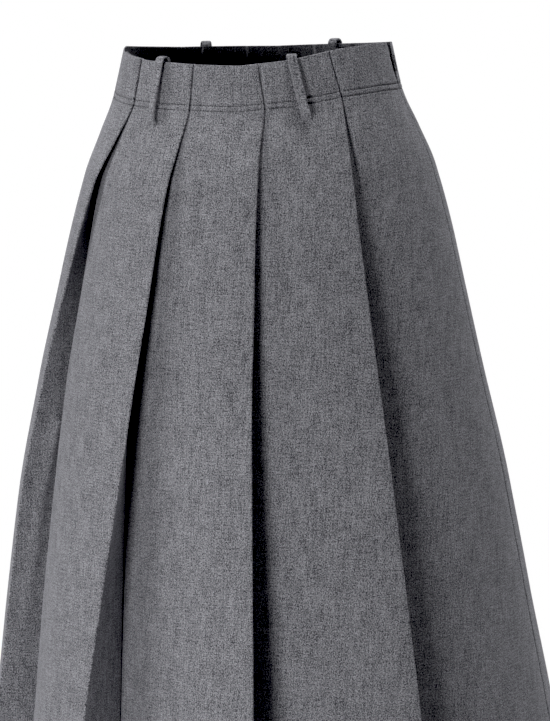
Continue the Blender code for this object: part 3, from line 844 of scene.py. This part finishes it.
        start, run, _ = rings.panel(pleats[0] - 1)
        begin = rings.seam(first_seam)[:, None] + self.seam_gap(rings, first_seam) - start
        ease = np.sort(np.concatenate([self.first_steps, np.linspace(0.05, 1.0, self.panel_steps)]))
        add_panel(pleats[0] - 1, begin + (run - begin) * ease)
        near = np.tile(self.near_steps, (len(rings.depth), 1))
        for k in pleats:
            start, run, out = rings.panel(k)
            q, o = self.turns(rings, k)
            q_all.append(start + q + self.ridge.push(rings, k, o))
            o_all.append(o)
            share = np.linspace(1.0, 0.0, self.back_steps)[None, :]
            q = -rings.back[:, None] * share
            slope = rings.free[:, None] * out * (1 + rings.belly) / run
            valley = -(rings.valley * rings.pleat_valley[k])[:, None]
            raised = rings.cloth.lift * (1 - rings.free)[:, None]
            q_all.append(start + q)
            o_all.append(raised + slope * q + (valley + slope * rings.back[:, None]) * share**2)
            steps, end = np.linspace(0.0, 1.0, self.panel_steps)[1:], run
            if k == pleats[-1]:
                steps = np.concatenate([np.linspace(0.0, 0.95, self.panel_steps)[1:], self.last_steps])
                end = rings.seam(last_seam)[:, None] - self.seam_gap(rings, last_seam) - start
            add_panel(k, np.concatenate([near, near[:, -1:] + (end - near[:, -1:]) * steps], axis=1))
        q, o = np.concatenate(q_all, axis=1), np.concatenate(o_all, axis=1)
        roll = bell(q, q[:, :1], self.roll_width) + bell(q, q[:, -1:], self.roll_width)
        return rings.points(q, o - self.seam_roll * roll)

    def shell(self, rings: Rings) -> tuple[np.ndarray, np.ndarray, np.ndarray]:
        """The thin closed shell about the middle.

        In words: the middle moves half the wall's thickness to each side along its normal in plan; the
        thickness draws in to a rounded edge at the waist and hem, and the outer face dips along the two stitch
        rows.

        Args:
            rings: the outline at each depth.

        Returns:
            Points, faces and cloth coordinates.
        """
        middle = self.line(rings)
        rows, cols = middle.shape[:2]
        flat = middle[..., :2]
        step = unit(np.gradient(flat, axis=1))
        normal = np.stack([step[..., 1], -step[..., 0]], axis=-1)
        depth = rings.depth
        half = rings.cloth.wall / 2
        inset = np.clip(1 - np.minimum(depth, self.length - depth) / half, 0.0, 1.0)
        thick = (half * np.sqrt(1 - inset**2 * self.edge_round))[:, None]
        dip = self.dip * sum(bell(depth, row, self.dip_width) for row in self.stitch_rows)[:, None]
        outer, inner = middle.copy(), middle.copy()
        outer[..., :2] += normal * (thick - dip)[..., None]
        inner[..., :2] -= normal * thick[..., None]
        points = np.vstack([outer.reshape(-1, 3), inner.reshape(-1, 3)])
        far = rows * cols
        faces = MeshMaker.grid_quads(rows, cols)
        j = np.arange(cols - 1)
        i = np.arange(rows - 1) * cols
        last = (rows - 1) * cols
        end = cols - 1
        quads = np.vstack([
            faces,
            far + faces[:, ::-1],
            np.stack([j, j + 1, far + j + 1, far + j], axis=1),
            np.stack([last + j, far + last + j, far + last + j + 1, last + j + 1], axis=1),
            np.stack([i, far + i, far + i + cols, i + cols], axis=1),
            np.stack([i + end, i + end + cols, far + i + end + cols, far + i + end], axis=1),
        ])
        length = running(flat)
        length = length - length[:, cols // 2][:, None]
        uv = np.stack([length, np.broadcast_to(-depth[:, None], length.shape)], axis=-1).reshape(-1, 2)
        self.area = float(np.sum(np.diff(length, axis=1)[:-1] * np.diff(depth)[:, None]))
        self.widths = (float(np.ptp(length[0])), float(np.ptp(length[-1])))
        return points, quads, np.vstack([uv, uv])

    def build(self, finish: FlannelFinish) -> bpy.types.Object:
        """Make the half and let it stand for its solid.

        In words: the cut is the widest running length of the shell and its area between the rows, each with a
        small margin.

        Args:
            finish: the cloth.

        Returns:
            The piece.
        """
        node = self.half.node
        points, quads, uv = self.shell(Rings(self.depths()))
        made = MeshMaker.piece(node + "_flannel", points, quads, uv, "skirt", finish.material(node + "_wool"),
                               "flannel")
        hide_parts(node)
        LOG.info("%s: %d faces, cut %.2f m at the waist, %.2f m at the hem, %.2f square metres", node,
                 len(quads), *self.widths, self.area)
        return made


@dataclass
class Topstitching:
    """Two rows of stitches under the waist edge, on whatever cloth shows."""

    rows: tuple = (0.037, 0.042)
    pitch: float = 0.0033
    stitch: float = 0.0026
    radius: float = 0.00026
    sink: float = 0.00075
    end_angle: float = 0.12
    fold_clear: float = 0.0024
    edge_clear: float = 0.0006
    seam_clear: float = 0.0030
    steps: int = 5
    sides: int = 6

    def places(self, rings: Rings, half: Half) -> tuple[np.ndarray, np.ndarray]:
        """Distances and offsets of the stitches' points along what shows of one half.

        In words: on each panel stitches start just past the fold that lies over it and end just before its own
        fold, at an even pitch, on the panel's outer face.

        Args:
            rings: the outline at the row's depth.
            half: front or back.

        Returns:
            Distances and offsets, stitches by steps.
        """
        first, last = half.pleats[0] - 1, half.pleats[-1]
        q_all: list[np.ndarray] = []
        o_all: list[np.ndarray] = []
        for k in range(first, last + 1):
            start, run, out = (column.item() for column in rings.panel(k))
            low, high = self.fold_clear, run - self.edge_clear
            if k == first:
                low = rings.seam(half.seams[0]).item() - start + self.seam_clear
            if k == last:
                high = rings.seam(half.seams[1]).item() - start - self.seam_clear
            count = int((high - low) / self.pitch)
            begin = low + (high - low - count * self.pitch) / 2 + np.arange(count) * self.pitch
            q = begin[:, None] + np.linspace(0.0, self.stitch, self.steps)[None, :]
            q_all.append(start + q)
            o_all.append(rings.panel_out(q.reshape(1, -1), run, out).reshape(q.shape))
        return np.concatenate(q_all), np.concatenate(o_all)

    def build(self, half: Half, finish: ThreadFinish) -> bpy.types.Object:
        """Make one half's stitches as one joined mesh.

        In words: a stitch is a six-sided rod along the cloth whose radius and height over the cloth rise and
        fall as the sine of its length, so both ends sink into the wall.

        Args:
            half: front or back.
            finish: the thread.

        Returns:
            The piece.
        """
        swell = np.sin(np.linspace(self.end_angle, math.pi - self.end_angle, self.steps))
        thick = self.radius * (0.35 + 0.65 * swell)
        turn = round_angles(self.sides)[None, None, :, None]
        upward = np.array([0.0, 0.0, 1.0])
        quads = MeshMaker.grid_quads(self.steps, self.sides, closed=True)
        all_points, all_quads, total = [], [], 0
        for depth in self.rows:
            rings = Rings(np.array([depth]))
            q, o = self.places(rings, half)
            height = o + rings.cloth.wall / 2 - self.sink + self.radius * (0.3 + 1.1 * swell)
            line, above = (rings.points(q.reshape(1, -1), (height + more).reshape(1, -1)).reshape(*q.shape, 3)
                           for more in (0.0, 0.001))
            ring = unit(above - line)[:, :, None, :] * np.cos(turn) + upward * np.sin(turn)
            points = line[:, :, None, :] + ring * thick[None, :, None, None]
            shift = np.arange(len(q))[:, None, None] * self.steps * self.sides
            all_points.append(points.reshape(-1, 3))
            all_quads.append((quads[None] + shift).reshape(-1, 4) + total)
            total += points.size // 3
        name = "topstitch_" + half.node
        made = MeshMaker.piece(name, np.vstack(all_points), np.vstack(all_quads), None, "skirt",
                               finish.material(name + "_thread"), "flannel")
        LOG.info("%s: %d faces", name, len(made.data.polygons))
        return made


@dataclass
class BeltLoop:
    """A strap of doubled flannel from inside the waist edge, over it and down the outside."""

    number: int
    top_angle: float
    bottom_angle: float
    width: float = 0.0090
    thick: float = 0.0022
    path_depth: tuple = (0.0110, 0.0055, 0.0003, -0.0026, -0.0040, -0.0042, -0.0030, -0.0004, 0.0040, 0.0130,
                         0.0230, 0.0330, 0.0420, 0.0485, 0.0525, 0.0545, 0.0556)
    path_out: tuple = (-0.0018, -0.0018, -0.0018, -0.0010, 0.0014, 0.0044, 0.0070, 0.0084, 0.0090, 0.0094,
                       0.0099, 0.0105, 0.0109, 0.0106, 0.0092, 0.0074, 0.0064)
    corner_cuts: int = 3
    twist: float = 22.0
    twist_depth: tuple = (0.0, 0.018, 0.040, 0.0500, 0.0540)
    twist_share: tuple = (0.0, 0.45, 1.0, 0.9, 0.0)
    side_reach: float = 0.002
    across_power: float = 0.35
    deep_power: float = 0.6
    uneven: float = 0.03
    steps: int = 84
    sides: int = 28

    def path(self) -> tuple[np.ndarray, np.ndarray]:
        """Depths and offsets down the strap on a smooth curve through its path.

        In words: the path's corners are cut three times at a quarter and three quarters of each run, then the
        line is shared out evenly by length.

        Returns:
            Depths and offsets.
        """
        line = np.stack([self.path_depth, self.path_out], axis=1)
        for _ in range(self.corner_cuts):
            cut = np.empty((2 * (len(line) - 1), 2))
            cut[0::2] = line[:-1] * 0.75 + line[1:] * 0.25
            cut[1::2] = line[:-1] * 0.25 + line[1:] * 0.75
            line = np.vstack([line[:1], cut, line[-1:]])
        run = running(line)
        even = np.linspace(0.0, run[-1], self.steps)
        return np.interp(even, run, line[:, 0]), np.interp(even, run, line[:, 1])

    def build(self, finish: FlannelFinish) -> bpy.types.Object:
        """Make the strap.

        In words: a slab profile, whose half width and half thickness follow the cosine and sine raised to low
        powers so that its corners are rounded, is carried along the path; its one long edge lifts off the cloth
        on the way down, and it closes at both ends.

        Args:
            finish: the cloth.

        Returns:
            The piece.
        """
        depth, out = self.path()
        rings = Rings(np.maximum(depth, 0.0))
        share = np.clip(depth / self.path_depth[-1], 0.0, 1.0)
        along = rings.along(self.top_angle + (self.bottom_angle - self.top_angle) * share)[:, None]
        before, middle, after = (rings.points(along + reach, out[:, None])[:, 0]
                                 for reach in (-self.side_reach, 0.0, self.side_reach))
        middle[:, 2] -= np.minimum(depth, 0.0)
        side = unit((after - before) * np.array([1.0, 1.0, 0.0]))
        face = unit(np.cross(side, np.gradient(middle, axis=0)))
        lift = np.radians(self.twist * np.interp(depth, self.twist_depth, self.twist_share))[:, None]
        side, face = side * np.cos(lift) - face * np.sin(lift), face * np.cos(lift) + side * np.sin(lift)
        turn = round_angles(self.sides)
        across = np.sign(np.cos(turn)) * np.abs(np.cos(turn)) ** self.across_power * self.width / 2
        deep = np.sign(np.sin(turn)) * np.abs(np.sin(turn)) ** self.deep_power * self.thick / 2
        rows = np.arange(self.steps)
        ends = np.minimum(rows, rows[::-1])
        close = np.maximum(np.sqrt(1 - np.clip(1 - ends / 2.0, 0.0, 1.0) ** 2), 0.02)
        uneven = 1 + self.uneven * np.sin(rows * 0.31 + self.number * 1.7)
        points = (middle[:, None, :] + side[:, None, :] * (across[None, :] * uneven[:, None])[..., None]
                  + face[:, None, :] * (deep[None, :] * close[:, None])[..., None])
        around = np.cumsum(np.hypot(np.diff(across, append=across[:1]), np.diff(deep, append=deep[:1])))
        uv = np.stack(np.broadcast_arrays(around[None, :] + self.number, -running(middle)[:, None]), axis=-1)
        node = "belt_loop_%d" % self.number
        made = MeshMaker.piece(node + "_strap", points.reshape(-1, 3),
                               MeshMaker.tube_quads(self.steps, self.sides), uv.reshape(-1, 2), "skirt",
                               finish.material(node + "_wool"), "flannel")
        MeshMaker.outward(made)
        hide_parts(node)
        LOG.info("%s: %d faces", made.name, len(made.data.polygons))
        return made


@dataclass
class SideZip:
    """The zip in the wearer's left seam: its tape with a row of teeth, and the metal slider and pull."""

    panel: int = 3
    tape_half: float = 0.0110
    tape_gap: float = 0.00046
    tape_thick: float = 0.0007
    tape_grid: tuple = (120, 33)
    seat: float = 0.0011
    seat_half: float = 0.0024
    top: float = 0.004
    bottom: float = 0.200
    coil_begin: float = 0.015
    coil_clear: float = 0.018
    coil_pitch: float = 0.0016
    coil_half: float = 0.0015
    coil_deep: float = 0.0006
    coil_seat: float = 0.0013
    coil_steps: int = 10
    coil_sides: int = 5
    wire: float = 0.00032

    def surface(self, depth: np.ndarray, along: np.ndarray, inward: np.ndarray | float) -> np.ndarray:
        """Points behind the zip's seam.

        Args:
            depth: depths below the waist edge.
            along: distances from the seam, rows by columns.
            inward: distances in from the cloth's inner face.

        Returns:
            Points, rows by columns by three.
        """
        rings = Rings(depth)
        start, run, out = rings.panel(self.panel)
        q = rings.seam(rings.zip_degrees)[:, None] - start + along
        return rings.points(start + q, rings.panel_out(q, run, out) - rings.cloth.wall / 2 - inward)

    def tape(self, finish: TapeFinish) -> bpy.types.Object:
        """Make the tape: a thin strip whose profile thickens over the teeth's seat.

        In words: thickness = tape + bell of the teeth's seat across it, closed round its edges.

        Args:
            finish: the woven tape.

        Returns:
            The piece.
        """
        rows, cols = self.tape_grid
        depth = np.linspace(self.top, self.bottom, rows)
        along = np.linspace(-self.tape_half, self.tape_half, cols)[None, :]
        seat = self.seat * np.exp(-((along / self.seat_half) ** 4))
        outer = self.surface(depth, along, self.tape_gap)
        inner = self.surface(depth, along, self.tape_gap + self.tape_thick + seat)
        both = np.concatenate([outer, inner[:, ::-1]], axis=1)
        u = np.concatenate([along[0], along[0][::-1] + 0.05])
        uv = np.stack(np.broadcast_arrays(u[None, :], -depth[:, None]), axis=-1).reshape(-1, 2)
        made = MeshMaker.piece("zip_tape_woven", both.reshape(-1, 3), MeshMaker.tube_quads(rows, 2 * cols), uv,
                               "skirt", finish.material("zip_tape_weave"), "zip_tape")
        MeshMaker.outward(made)
        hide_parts("zip_tape")
        return made

    def teeth(self, finish: MetalFinish) -> bpy.types.Object:
        """Make the coil: turns of a fine wire along the tape's middle, on its inner side.

        In words: at each pitch one turn of the wire goes once round an oval 3.0 mm by 1.2 mm.

        Args:
            finish: the lacquered metal.

        Returns:
            The piece.
        """
        turns = int((self.bottom - self.top - self.coil_clear) / self.coil_pitch)
        t = np.linspace(0.0, turns, turns * self.coil_steps + 1)
        depth = self.top + self.coil_begin + t * self.coil_pitch
        across = self.coil_half * np.cos(2 * math.pi * t)
        inward = self.tape_gap + self.tape_thick + self.coil_seat + self.coil_deep * np.sin(2 * math.pi * t)
        line = self.surface(depth, across[:, None], inward[:, None])[:, 0]
        run = unit(np.gradient(line, axis=0))
        one = unit(np.cross(run, np.array([0.0, 0.0, 1.0])))
        two = np.cross(run, one)
        turn = round_angles(self.coil_sides)[None, :, None]
        ring = one[:, None, :] * np.cos(turn) + two[:, None, :] * np.sin(turn)
        points = line[:, None, :] + self.wire * ring
        quads = MeshMaker.grid_quads(len(t), self.coil_sides, closed=True)
        made = MeshMaker.piece("zip_coil", points.reshape(-1, 3), quads, None, "skirt",
                               finish.material("zip_coil_finish"), "zip_tape")
        MeshMaker.outward(made)
        return made

    def build(self) -> None:
        """Make the tape and coil, and give the metal pieces their finish."""
        tape = self.tape(TapeFinish())
        coil = self.teeth(MetalFinish(colour=(0.035, 0.035, 0.038), worn=(0.12, 0.12, 0.12)))
        for node in ("zip_slider", "zip_pull"):
            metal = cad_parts[node]
            metal.data.materials.clear()
            metal.data.materials.append(MetalFinish().material(node + "_lacquer"))
        LOG.info("zip: tape %d faces, coil %d faces", len(tape.data.polygons), len(coil.data.polygons))


@dataclass
class Studio:
    """Camera at the photograph's angle, soft lights and a plain pale floor."""

    azimuth: float = 11.53
    elevation: float = 7.57
    roll: float = 1.42
    aim_right: float = 0.01184
    aim_up: float = -0.2884
    distance: float = 3.30
    metres_per_pixel: float = 0.000936
    picture_height: int = 721
    sensor: float = 36.0
    floor_height: float = -1.05
    floor_rings: tuple = (0.001, 0.4, 0.9, 1.50)
    floor_sides: int = 96
    light_aim: float = -0.35
    light_away: float = 2.60
    glow: float = 0.02
    black: float = 0.028
    lights: tuple = (
        ("key", -16.0, 0.0, (0.9, 0.9), 45.0),
        ("front_right", 30.0, 38.0, (0.9, 0.9), 3.0),
        ("left", -84.0, 38.0, (1.1, 1.0), 37.0),
        ("top_right", 100.0, 78.0, (0.9, 0.9), 45.0),
        ("right_back", 130.0, 0.0, (0.9, 1.2), 23.0),
        ("left_back", -135.0, 10.0, (0.9, 1.2), 8.0),
    )

    @staticmethod
    def put(name: str, data: bpy.types.ID, axes: tuple, place: np.ndarray) -> bpy.types.Object:
        """Put an object into the scene.

        Args:
            name: its name.
            data: its camera or light.
            axes: its three axes.
            place: its origin.

        Returns:
            The object.
        """
        made = bpy.data.objects.new(name, data)
        matrix = np.eye(4)
        matrix[:3, :] = np.stack([*axes, place], axis=1)
        made.matrix_world = Matrix(matrix.tolist())
        bpy.context.scene.collection.objects.link(made)
        return made

    def camera(self) -> None:
        """Set the camera: lens = sensor x distance / (pixels x metres a pixel), rolled about its own axis."""
        a, e, r = (math.radians(v) for v in (self.azimuth, self.elevation, self.roll))
        ahead = np.array([-math.sin(a) * math.cos(e), math.cos(a) * math.cos(e), -math.sin(e)])
        right = np.array([math.cos(a), math.sin(a), 0.0])
        up = np.cross(right, ahead)
        aim = right * self.aim_right + np.array([0.0, 0.0, self.aim_up])
        data = bpy.data.cameras.new("camera")
        data.sensor_fit = "AUTO"
        data.sensor_width = self.sensor
        data.lens = self.sensor * self.distance / (self.picture_height * self.metres_per_pixel)
        data.clip_end = 50.0
        axes = (right * math.cos(r) - up * math.sin(r), up * math.cos(r) + right * math.sin(r), -ahead)
        bpy.context.scene.camera = self.put("camera", data, axes, aim - ahead * self.distance)

    def light(self, name: str, azimuth: float, elevation: float, size: tuple[float, float],
              watts: float) -> None:
        """Add one soft rectangular light that faces the middle of the skirt.

        Args:
            name: its name.
            azimuth: degrees round from the front.
            elevation: degrees up from the skirt's middle.
            size: width and height of the light.
            watts: its power.
        """
        data = bpy.data.lights.new(name, "AREA")
        data.shape = "RECTANGLE"
        data.size, data.size_y = size
        data.energy = watts
        a, e = math.radians(azimuth), math.radians(elevation)
        back = np.array([math.sin(a) * math.cos(e), -math.cos(a) * math.cos(e), math.sin(e)])
        right = unit(np.cross([0.0, 0.0, 1.0], back))
        place = np.array([0.0, 0.0, self.light_aim]) + back * self.light_away
        self.put(name, data, (right, np.cross(back, right), back), place)

    def world(self) -> None:
        """Surround the scene with white: full white to the camera, a low glow as light."""
        world = bpy.data.worlds.new("studio")
        world.use_nodes = True
        tree = world.node_tree
        shown = tree.nodes["Background"]
        lit = tree.nodes.new("ShaderNodeBackground")
        for back, strength in ((shown, 1.0), (lit, self.glow)):
            back.inputs[0].default_value = (1.0, 1.0, 1.0, 1.0)
            back.inputs[1].default_value = strength
        path = tree.nodes.new("ShaderNodeLightPath")
        mix = tree.nodes.new("ShaderNodeMixShader")
        tree.links.new(path.outputs["Is Camera Ray"], mix.inputs[0])
        tree.links.new(lit.outputs[0], mix.inputs[1])
        tree.links.new(shown.outputs[0], mix.inputs[2])
        tree.links.new(mix.outputs[0], tree.nodes["World Output"].inputs[0])
        bpy.context.scene.world = world

    def floor(self) -> None:
        """A round pale floor under the worn skirt: rings of points from the middle out."""
        turn = round_angles(self.floor_sides)
        radius = np.array(self.floor_rings)[:, None]
        level = np.full((len(radius), len(turn)), self.floor_height)
        points = np.stack([radius * np.cos(turn), radius * np.sin(turn), level], axis=-1)
        quads = MeshMaker.grid_quads(len(radius), len(turn), closed=True)
        s = Sketch("floor_paint")
        where = s.node("ShaderNodeTexCoord").outputs["Object"]
        grain = s.node("ShaderNodeTexNoise", {"Vector": where, "Scale": 30.0, "Detail": 2.0}).outputs[0]
        s.blend(grain, (0.80, 0.80, 0.80), (0.86, 0.86, 0.86))
        mesh = bpy.data.meshes.new("floor")
        mesh.from_pydata(points.reshape(-1, 3).tolist(), [], quads.tolist())
        mesh.materials.append(s.finish({"Roughness": 0.8}))
        floor = bpy.data.objects.new("floor", mesh)
        bpy.context.scene.collection.objects.link(floor)

    def build(self) -> None:
        """Set up the whole studio."""
        self.camera()
        self.world()
        for light in self.lights:
            self.light(*light)
        self.floor()
        view = bpy.context.scene.view_settings
        view.view_transform = "Standard"
        view.look = "None"
        view.use_curve_mapping = True
        view.curve_mapping.black_level = (self.black,) * 3


def main() -> None:
    """Build the studio, then every piece of the skirt in order."""
    Studio().build()
    wool = FlannelFinish()
    for half in Half:
        PleatedHalf(half).build(wool)
        Topstitching().build(half, ThreadFinish())
    for number, (top_angle, bottom_angle) in enumerate(LOOP_ANGLES, 1):
        BeltLoop(number, top_angle, bottom_angle).build(wool)
    SideZip().build()


if __name__ == "__main__":
    main()
